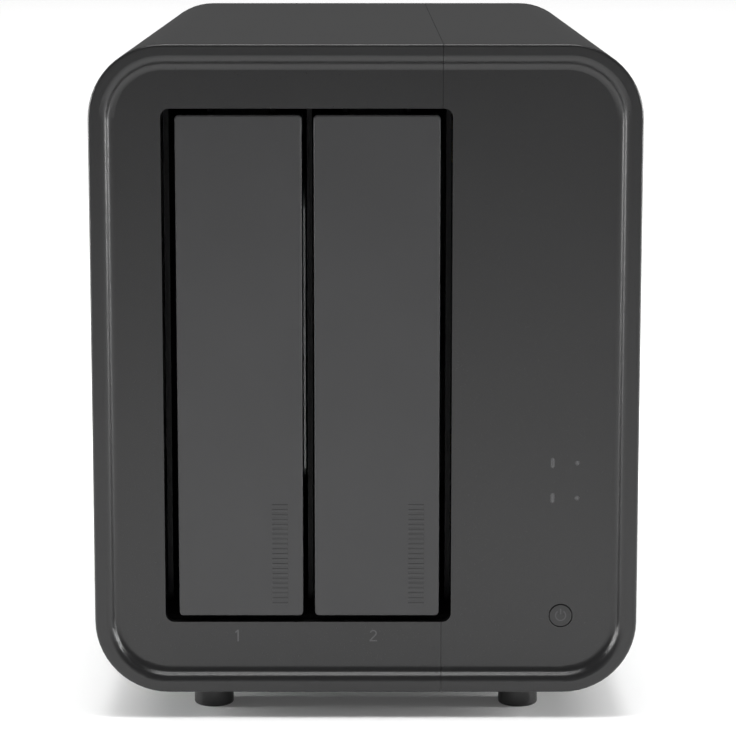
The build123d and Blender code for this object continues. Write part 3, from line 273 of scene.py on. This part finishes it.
def pale_floor():
    """Plain pale sweep of thin paper that lets a little light through."""
    material, tree, shader, place = new_material("pale_floor")
    clouds = noise(tree, place, 300.0)
    shade = ramp(tree, clouds, [(0.3, (0.955, 0.955, 0.955)), (0.7, (0.965, 0.965, 0.965))])
    tree.links.new(shade, shader.inputs["Base Color"])
    shader.inputs["Roughness"].default_value = 0.9
    shader.inputs["Specular IOR Level"].default_value = 0.1
    shader.inputs["Emission Color"].default_value = (1.0, 1.0, 1.0, 1.0)
    shader.inputs["Emission Strength"].default_value = FLOOR_GLOW
    return material


# ---------------------------------------------------------------- mesh helpers, in millimetres
PRINT = 0.02
SINK = 0.005
FRONT = (Vector((1, 0, 0)), Vector((0, 0, 1)), Vector((0, -1, 0)))
REAR = (Vector((-1, 0, 0)), Vector((0, 0, 1)), Vector((0, 1, 0)))


def piece(bm, name, finish, body, smooth=False):
    """Turn a bmesh into a piece that rides on a body and takes its finish by name from the materials
    table.
    """
    bmesh.ops.recalc_face_normals(bm, faces=bm.faces)
    mesh = bpy.data.meshes.new(name)
    bm.to_mesh(mesh)
    bm.free()
    for face in mesh.polygons:
        face.use_smooth = smooth
    obj = bpy.data.objects.new(name, mesh)
    bpy.context.scene.collection.objects.link(obj)
    mesh.materials.append(materials[finish])
    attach(obj, body)


def box_mm(node):
    """A CAD node's lowest and highest corners in millimetres."""
    low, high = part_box(node)
    return low / MM, high / MM


def add_box(bm, low, high, bevel=0.1):
    """A box between two corners with rounded edges."""
    size = [b - a for a, b in zip(low, high)]
    middle = [(a + b) / 2 * MM for a, b in zip(low, high)]
    place = Matrix.Translation(middle) @ Matrix.Diagonal([c * MM for c in size] + [1.0])
    made = bmesh.ops.create_cube(bm, size=1.0, matrix=place)
    edges = list({e for v in made["verts"] for e in v.link_edges})
    reach = min(bevel, 0.35 * min(size)) * MM
    bmesh.ops.bevel(bm, geom=edges, offset=reach, segments=2, affect="EDGES", profile=0.5)


def add_turned(bm, centre, axis, profile, steps=40):
    """A solid of revolution about an axis through centre, from (along, radius) points."""
    turn = Vector((0, 0, 1)).rotation_difference(Vector(axis)).to_matrix()
    rings = []
    for along, radius in profile:
        ring = []
        for k in range(steps):
            angle = 2 * math.pi * k / steps
            point = turn @ Vector((radius * math.cos(angle), radius * math.sin(angle), along))
            ring.append(bm.verts.new((Vector(centre) + point) * MM))
        rings.append(ring)
    for first, second in zip(rings, rings[1:]):
        for k in range(steps):
            after = (k + 1) % steps
            bm.faces.new((first[k], first[after], second[after], second[k]))
    bm.faces.new(rings[0][::-1])
    bm.faces.new(rings[-1])


def add_plate(bm, outline, centre, plane, depth=PRINT):
    """A flat raised shape from an outline of (across, up) points."""
    across, up, out = plane
    base = [Vector(centre) + across * a + up * b for a, b in outline]
    lower = [bm.verts.new(p * MM) for p in base]
    upper = [bm.verts.new((p + out * depth) * MM) for p in base]
    bm.faces.new(lower[::-1])
    bm.faces.new(upper)
    for k, start in enumerate(lower):
        after = (k + 1) % len(lower)
        bm.faces.new((start, lower[after], upper[after], upper[k]))


def bar(start, end, width):
    """Outline of a straight stroke."""
    along = Vector((end[0] - start[0], end[1] - start[1])).normalized() * (width / 2)
    side = Vector((-along.y, along.x))
    corners = [Vector(start) - side, Vector(end) - side, Vector(end) + side, Vector(start) + side]
    return [tuple(c) for c in corners]


def arc(radius, width, start, end, steps=28, middle=(0.0, 0.0)):
    """Outline of a curved stroke between two angles in degrees."""
    inner = []
    outer = []
    for k in range(steps + 1):
        angle = math.radians(start + (end - start) * k / steps)
        for row, reach in ((inner, radius - width / 2), (outer, radius + width / 2)):
            row.append((middle[0] + reach * math.cos(angle), middle[1] + reach * math.sin(angle)))
    return inner + outer[::-1]


# ---------------------------------------------------------------- pieces on the front
def bay_numeral(number):
    """Small printed numeral under a bay, drawn as one closed outline."""
    low, high = box_mm(f"tray_{number}_handle")
    centre = ((low.x + high.x) / 2 - 0.8, low.y + SINK, low.z - 4.6)
    half = 1.35
    turns = (-0.6, -0.2, 0.3, 0.9, 1.6, 2.3, 2.9)
    bow_out = [(0.82 * math.cos(a), 0.55 + 0.8 * math.sin(a)) for a in turns]
    bow_in = [(0.5 * math.cos(a), 0.55 + 0.48 * math.sin(a)) for a in reversed(turns)]
    stem = [(-0.15, -half), (0.2, -half), (0.2, half), (-0.12, half)]
    foot = [(-0.85, -half), (0.85, -half), (0.85, -1.05), (-0.4, -1.05)]
    outlines = {
        1: stem + [(-0.65, 0.85), (-0.5, 0.6), (-0.15, 0.85)],
        2: foot + bow_out + bow_in + [(-0.85, -1.05)],
    }
    bm = bmesh.new()
    add_plate(bm, outlines[number], centre, FRONT)
    piece(bm, f"bay_{number}_numeral", "front_print", "chassis")


def tray_grip(number):
    """Column of fine raised ribs low on the right of a tray front, for a thumb."""
    low, high = box_mm(f"tray_{number}_handle")
    left = (low.x + high.x) / 2 + 7.0
    ribs = 21
    column = 22.6
    width = 3.6
    half = 0.28
    proud = 0.1
    bm = bmesh.new()
    for k in range(ribs):
        z = low.z + 2.8 + column * k / (ribs - 1)
        add_box(bm, (left, low.y - proud, z - half), (left + width, low.y + proud, z + half), 0.09)
    piece(bm, f"tray_{number}_grip", "tray_front", f"tray_{number}_handle")


def power_mark():
    """Printed ring with a bar across its gap, on the power button."""
    low, high = box_mm("power_button")
    centre = ((low.x + high.x) / 2, low.y + SINK, (low.z + high.z) / 2)
    bm = bmesh.new()
    add_plate(bm, arc(1.15, 0.26, 125.0, 415.0), centre, FRONT)
    add_plate(bm, bar((0.0, 0.3), (0.0, 1.5), 0.28), centre, FRONT)
    piece(bm, "power_mark", "front_print", "power_button")


# ---------------------------------------------------------------- pieces at the back
def lan_details():
    """Eight sprung contacts in the network socket and its two indicator windows."""
    low, high = box_mm("lan_port")
    middle = (low.z + high.z) / 2
    contacts = 8
    pitch = 1.02
    half = 0.2
    bm = bmesh.new()
    for k in range(contacts):
        z = middle + pitch * (k - (contacts - 1) / 2)
        low_z, high_z = z - half, z + half
        add_box(bm, (low.x + 1.55, high.y - 13.0, low_z), (low.x + 1.95, high.y - 3.6, high_z), 0.05)
        add_box(bm, (low.x + 1.8, high.y - 4.0, low_z), (low.x + 3.2, high.y - 3.6, high_z), 0.05)
    piece(bm, "lan_contacts", "gold_contact", "chassis")
    windows = ((-1, "lan_link_window", "green_window"), (1, "lan_traffic_window", "amber_window"))
    for side, name, finish in windows:
        z = middle + side * 5.2
        bm = bmesh.new()
        add_box(bm, (low.x + 10.3, high.y - 0.6, z - 1.5), (low.x + 12.5, high.y + 0.1, z + 1.5), 0.3)
        piece(bm, name, finish, "chassis", smooth=True)


def usb_details(node):
    """Insulator over the tongue of a USB socket, its contacts and the shell's sprung tabs."""
    low, high = box_mm(node)
    middle = (low.z + high.z) / 2
    half = 5.75
    start = (low.x + 3.6, high.y - 9.9, middle - half)
    bm = bmesh.new()
    add_box(bm, start, (low.x + 5.6, high.y - 0.7, middle + half), 0.25)
    piece(bm, f"{node}_tongue", "connector_black", "chassis", smooth=True)
    contacts = 4
    pitch = 2.4
    half = 0.5
    bm = bmesh.new()
    for k in range(contacts):
        z = middle + pitch * (k - (contacts - 1) / 2)
        start = (low.x + 3.45, high.y - 8.5, z - half)
        add_box(bm, start, (low.x + 3.75, high.y - 1.4, z + half), 0.08)
    piece(bm, f"{node}_contacts", "gold_contact", "chassis")
    bm = bmesh.new()
    for side in (-1, 1):
        z = middle + side * 3.4
        add_box(bm, (low.x + 0.8, high.y - 7.0, z - 1.0), (low.x + 1.3, high.y - 1.6, z + 1.0), 0.15)
    piece(bm, f"{node}_tabs", "port_metal", "chassis")


def inlet_details():
    """Plated sleeve round the centre pin of the power inlet."""
    low, high = box_mm("power_inlet")
    centre = (low.x + 6.0, high.y, (low.z + high.z) / 2)
    bm = bmesh.new()
    pin = [(1.0, 0.5), (1.25, 1.05), (1.8, 1.32), (7.5, 1.32), (7.6, 1.2)]
    add_turned(bm, centre, (0, -1, 0), pin, 24)
    piece(bm, "inlet_pin", "pin_steel", "chassis", smooth=True)


def port_marks():
    """Plain printed signs by the ports: a network tree, plugs, direct current and a reset arrow."""
    screw_head = 1.8
    face = box_mm("fan_screws")[1].y - screw_head - SINK
    port = box_mm("lan_port")[0]
    bm = bmesh.new()

    def stamp(node, outlines):
        low, high = box_mm(node)
        for outline in outlines:
            add_plate(bm, outline, (port.x - 4.6, face, (low.z + high.z) / 2), REAR)

    def square(x, z):
        half = 0.55
        return bar((x - half, z), (x + half, z), 2 * half)

    stamp(
        "lan_port",
        [square(0.0, 1.5), square(-1.5, -1.3), square(1.5, -1.3)]
        + [bar((0.0, 0.95), (0.0, 0.1), 0.22), bar((-1.61, -0.01), (1.61, -0.01), 0.22)]
        + [bar((x, -0.12), (x, -0.75), 0.22) for x in (-1.5, 1.5)],
    )
    for node in ("usb_port_upper", "usb_port_lower"):
        stamp(
            node,
            [bar((-1.2, -0.6), (1.2, -0.6), 2.0)]
            + [bar((x, 0.4), (x, 1.7), 0.24) for x in (-0.85, 0.85)]
            + [bar((-0.73, 1.58), (0.73, 1.58), 0.24)],
        )
    stamp(
        "power_inlet",
        [bar((-1.7, 0.45), (1.7, 0.45), 0.3)]
        + [bar((x - 0.4, -0.45), (x + 0.4, -0.45), 0.3) for x in (-1.3, 0.0, 1.3)],
    )
    arrow_head = [(0.45, -1.05), (1.25, -1.25), (1.15, -0.35)]
    stamp("reset_button", [arc(1.1, 0.24, -40.0, 225.0), arrow_head])
    piece(bm, "port_marks", "rear_print", "chassis")


def fan_label():
    """Blank foil disc on the back of the fan's motor mount."""
    low, high = box_mm("fan_frame")
    centre = ((low.x + high.x) / 2, high.y, (low.z + high.z) / 2)
    bm = bmesh.new()
    add_turned(bm, centre, (0, 1, 0), [(-0.02, 14.6), (0.05, 14.6), (0.07, 14.4), (0.07, 0.5)], 64)
    piece(bm, "fan_label", "foil_label", "chassis")


# ---------------------------------------------------------------- pieces inside
def drive_details(number):
    """What a hard drive shows: label, cover screws, motor plate, and the parts on its circuit board."""
    body = f"tray_{number}"
    low, high = box_mm(f"drive_{number}_cover")
    middle = (low.z + high.z) / 2
    face = high.x
    start = low.y + 34.0
    end = low.y + 110.0
    half = 33.0
    margin = 3.0
    indent = start + 5.0
    bm = bmesh.new()
    add_box(bm, (face - 0.02, start, middle - half), (face + 0.06, end, middle + half), 0.02)
    piece(bm, f"drive_{number}_label", "paper_label", body)
    ink_low = face + 0.04
    ink_high = face + 0.08
    bm = bmesh.new()
    band = ((ink_low, start + margin, middle + 24.0), (ink_high, end - margin, middle + 30.0))
    add_box(bm, *band, 0.01)
    for k, length in enumerate((40.0, 54.0, 32.0, 48.0, 24.0)):
        z = middle + 16.0 - 6.0 * k
        add_box(bm, (ink_low, indent, z - 0.9), (ink_high, indent + length, z + 0.9), 0.01)
    for k in range(26):
        y = indent + 1.9 * k
        wide = (0.4, 0.8, 0.5, 1.1, 0.4)[k * k % 5]
        add_box(bm, (ink_low, y, middle - 29.0), (ink_high, y + wide, middle - 19.0), 0.01)
    piece(bm, f"drive_{number}_label_print", "label_band", body)
    bm = bmesh.new()
    head = [(-0.3, 1.9), (0.3, 1.9), (0.5, 1.6), (0.5, 0.95), (0.1, 0.8)]
    inset = 4.0
    for y in (low.y + inset, (low.y + high.y) / 2, high.y - inset):
        for z in (low.z + inset, high.z - inset):
            add_turned(bm, (face - 0.4, y, z), (1, 0, 0), head, 24)
    piece(bm, f"drive_{number}_cover_screws", "screw_steel", body)
    board_low = box_mm(f"drive_{number}_board")[0]
    outer = board_low.x
    plate = [(-0.2, 16.0), (0.25, 16.0), (0.4, 15.2), (0.4, 7.0)]
    plate += [(0.1, 6.4), (0.1, 2.4), (0.35, 2.2), (0.35, 0.4)]
    bm = bmesh.new()
    add_turned(bm, (outer, board_low.y - 24.0, middle), (-1, 0, 0), plate, 64)
    piece(bm, f"drive_{number}_motor_plate", "drive_cover", body)
    bm = bmesh.new()
    for y, z, size in (
        (10.0, 50.0, 14.0),
        (34.0, 54.0, 12.0),
        (12.0, 26.0, 9.0),
        (30.0, 30.0, 8.0),
        (48.0, 34.0, 6.0),
    ):
        start = (outer - 0.7, board_low.y + y, board_low.z + z)
        add_box(bm, start, (outer + 0.1, start[1] + size, start[2] + size), 0.15)
    piece(bm, f"drive_{number}_chips", "chip_black", body)
    bm = bmesh.new()
    for row, z in enumerate((8.0, 16.0, 44.0, 74.0)):
        for k in range(10):
            start = (outer - 0.45, board_low.y + 6.0 + 6.2 * k + 1.4 * (row % 2), board_low.z + z)
            add_box(bm, start, (outer + 0.1, start[1] + 0.9, start[2] + 1.7), 0.1)
    piece(bm, f"drive_{number}_small_parts", "ceramic", body)


def board_details():
    """Small parts soldered to the main board, clear of the CAD parts on it."""
    low, high = box_mm("main_board")
    face = high.x
    choke = 7.0
    bm = bmesh.new()
    for y, z in ((14.0, 62.0), (14.0, 72.0), (110.0, 34.0), (100.0, 34.0)):
        start = (face - 0.1, low.y + y, low.z + z)
        add_box(bm, start, (face + 3.4, start[1] + choke, start[2] + choke), 0.9)
    piece(bm, "board_chokes", "ferrite", "chassis", smooth=True)
    bm = bmesh.new()
    for y, z, wide, tall in (
        (96.0, 66.0, 9.0, 9.0),
        (96.0, 50.0, 7.0, 7.0),
        (112.0, 50.0, 6.0, 5.0),
        (70.0, 12.0, 12.0, 12.0),
        (32.0, 14.0, 8.0, 10.0),
        (112.0, 66.0, 5.0, 6.0),
    ):
        start = (face - 0.1, low.y + y, low.z + z)
        add_box(bm, start, (face + 1.1, start[1] + wide, start[2] + tall), 0.15)
    piece(bm, "board_chips", "chip_black", "chassis")
    bm = bmesh.new()
    for row, z in enumerate((4.0, 28.0, 31.0, 46.0, 82.0, 103.0)):
        for k in range(15):
            start = (face - 0.1, low.y + 16.0 + 4.1 * k + 1.3 * (row % 2), low.z + z)
            add_box(bm, start, (face + 0.55, start[1] + 0.9, start[2] + 1.7), 0.1)
    piece(bm, "board_small_parts", "ceramic", "chassis")
    low, high = box_mm("backup_battery")
    centre = (low.x, (low.y + high.y) / 2, (low.z + high.z) / 2)
    holder = [(0.0, 11.3), (1.7, 11.3), (2.0, 11.0), (2.0, 10.05), (0.5, 10.0)]
    bm = bmesh.new()
    add_turned(bm, centre, (1, 0, 0), holder, 48)
    piece(bm, "battery_holder", "connector_black", "chassis")


def indicator_lamps():
    """Four small lamps on the indicator board, one behind each light pipe."""
    low, high = box_mm("light_pipes")
    back = box_mm("indicator_board")[0].y
    inset = 1.6
    bm = bmesh.new()
    for x in (low.x + inset, high.x - inset):
        for z in (low.z + inset, high.z - inset):
            add_box(bm, (x - 0.8, back - 0.7, z - 0.5), (x + 0.8, back + 0.1, z + 0.5), 0.12)
    piece(bm, "indicator_lamps", "lamp_resin", "chassis", smooth=True)


# ---------------------------------------------------------------- finishes, then everything in order
CASING = (0.0122, 0.0122, 0.0127)
materials = {
    "casing": moulded("casing_plastic", CASING, 0.3),
    "tray_front": moulded("tray_front_plastic", tinted(CASING, 1.85), 0.34),
    "rear_panel": moulded("rear_plastic", (0.018, 0.018, 0.019), 0.55),
    "cage_metal": moulded("powder_coat", (0.009, 0.009, 0.0095), 0.45, 0.5, 0.03),
    "screw_steel": metal("zinc_plate", (0.35, 0.36, 0.38), 0.3),
    "circuit_board": circuit("solder_mask_upright", ("Y", "Z")),
    "drive_board": circuit("solder_mask_drive", ("Y", "Z"), (0.006, 0.04, 0.05)),
    "connector_black": moulded("nylon_black", (0.012, 0.012, 0.012), 0.38),
    "spacer_brass": metal("turned_brass", (0.75, 0.56, 0.28), 0.25),
    "chip_black": moulded("chip_epoxy", (0.015, 0.015, 0.016), 0.45, 0.12),
    "heatsink_aluminium": metal("extruded_aluminium", (0.7, 0.71, 0.73), 0.32, 0.2, (1.0, 1.0, 0.05)),
    "capacitor_can": metal("capacitor_aluminium", (0.75, 0.75, 0.77), 0.25),
    "battery_steel": metal("battery_nickel", (0.72, 0.71, 0.69), 0.22),
    "port_metal": metal("nickel_shell", (0.46, 0.455, 0.44), 0.24, 0.3),
    "fan_plastic": moulded("fan_plastic", (0.012, 0.012, 0.013), 0.4),
    "fan_rotor_plastic": moulded("fan_rotor_plastic", (0.014, 0.014, 0.015), 0.35),
    "lead_sleeve": moulded("lead_sleeve", (0.01, 0.01, 0.01), 0.5, 0.4, 0.05),
    "plug_white": moulded("nylon_natural", (0.68, 0.66, 0.6), 0.4),
    "light_pipe": smoked("smoked_window", (0.03, 0.03, 0.032)),
    "foot_rubber": moulded("foot_rubber", (0.009, 0.009, 0.009), 0.34, 0.4, 0.012, 0.15, 0.5),
    "reset_plastic": moulded("reset_plastic", (0.02, 0.02, 0.02), 0.4),
    "tray_plastic": moulded("tray_plastic", (0.02, 0.02, 0.021), 0.45),
    "clip_plastic": moulded("clip_nylon", (0.10, 0.10, 0.11), 0.45),
    "drive_casting": metal("cast_aluminium", (0.16, 0.16, 0.165), 0.5, 0.6, depth_mm=0.03),
    "drive_cover": metal("stamped_aluminium", (0.72, 0.73, 0.74), 0.3, 0.25, (1.0, 0.06, 1.0)),
    "pin_steel": metal("ground_steel", (0.6, 0.6, 0.61), 0.2),
}
materials |= {
    "front_print": moulded("front_print_ink", (0.08, 0.08, 0.083), 0.5, 0.1, 0.002),
    "rear_print": moulded("rear_print_ink", (0.42, 0.42, 0.43), 0.55, 0.1, 0.002),
    "gold_contact": metal("gold_plate", (0.85, 0.62, 0.24), 0.22, 0.1, depth_mm=0.001),
    "green_window": smoked("green_window", (0.05, 0.3, 0.08)),
    "amber_window": smoked("amber_window", (0.5, 0.24, 0.03)),
    "foil_label": metal("foil_label", (0.32, 0.33, 0.35), 0.42, 0.2, depth_mm=0.002),
    "paper_label": moulded("label_paper", (0.62, 0.62, 0.6), 0.6, 0.25, 0.006),
    "label_band": moulded("label_ink", (0.12, 0.13, 0.15), 0.5, 0.2, 0.004),
    "ferrite": moulded("ferrite", (0.05, 0.05, 0.055), 0.6, 0.4, 0.03),
    "ceramic": moulded("ceramic_chip", (0.22, 0.16, 0.1), 0.4, 0.2, 0.006),
    "lamp_resin": smoked("lamp_resin", (0.5, 0.5, 0.42)),
}

make_camera()
make_floor(pale_floor())
make_world()
make_light()

for part in frame["record"]["subparts"]:
    cad = nodes[part["node"]]
    cad.data.materials.clear()
    cad.data.materials.append(materials[part["material_slot"]])

for bay in (1, 2):
    bay_numeral(bay)
    tray_grip(bay)
    drive_details(bay)
power_mark()
lan_details()
usb_details("usb_port_upper")
usb_details("usb_port_lower")
inlet_details()
port_marks()
fan_label()
board_details()
indicator_lamps()
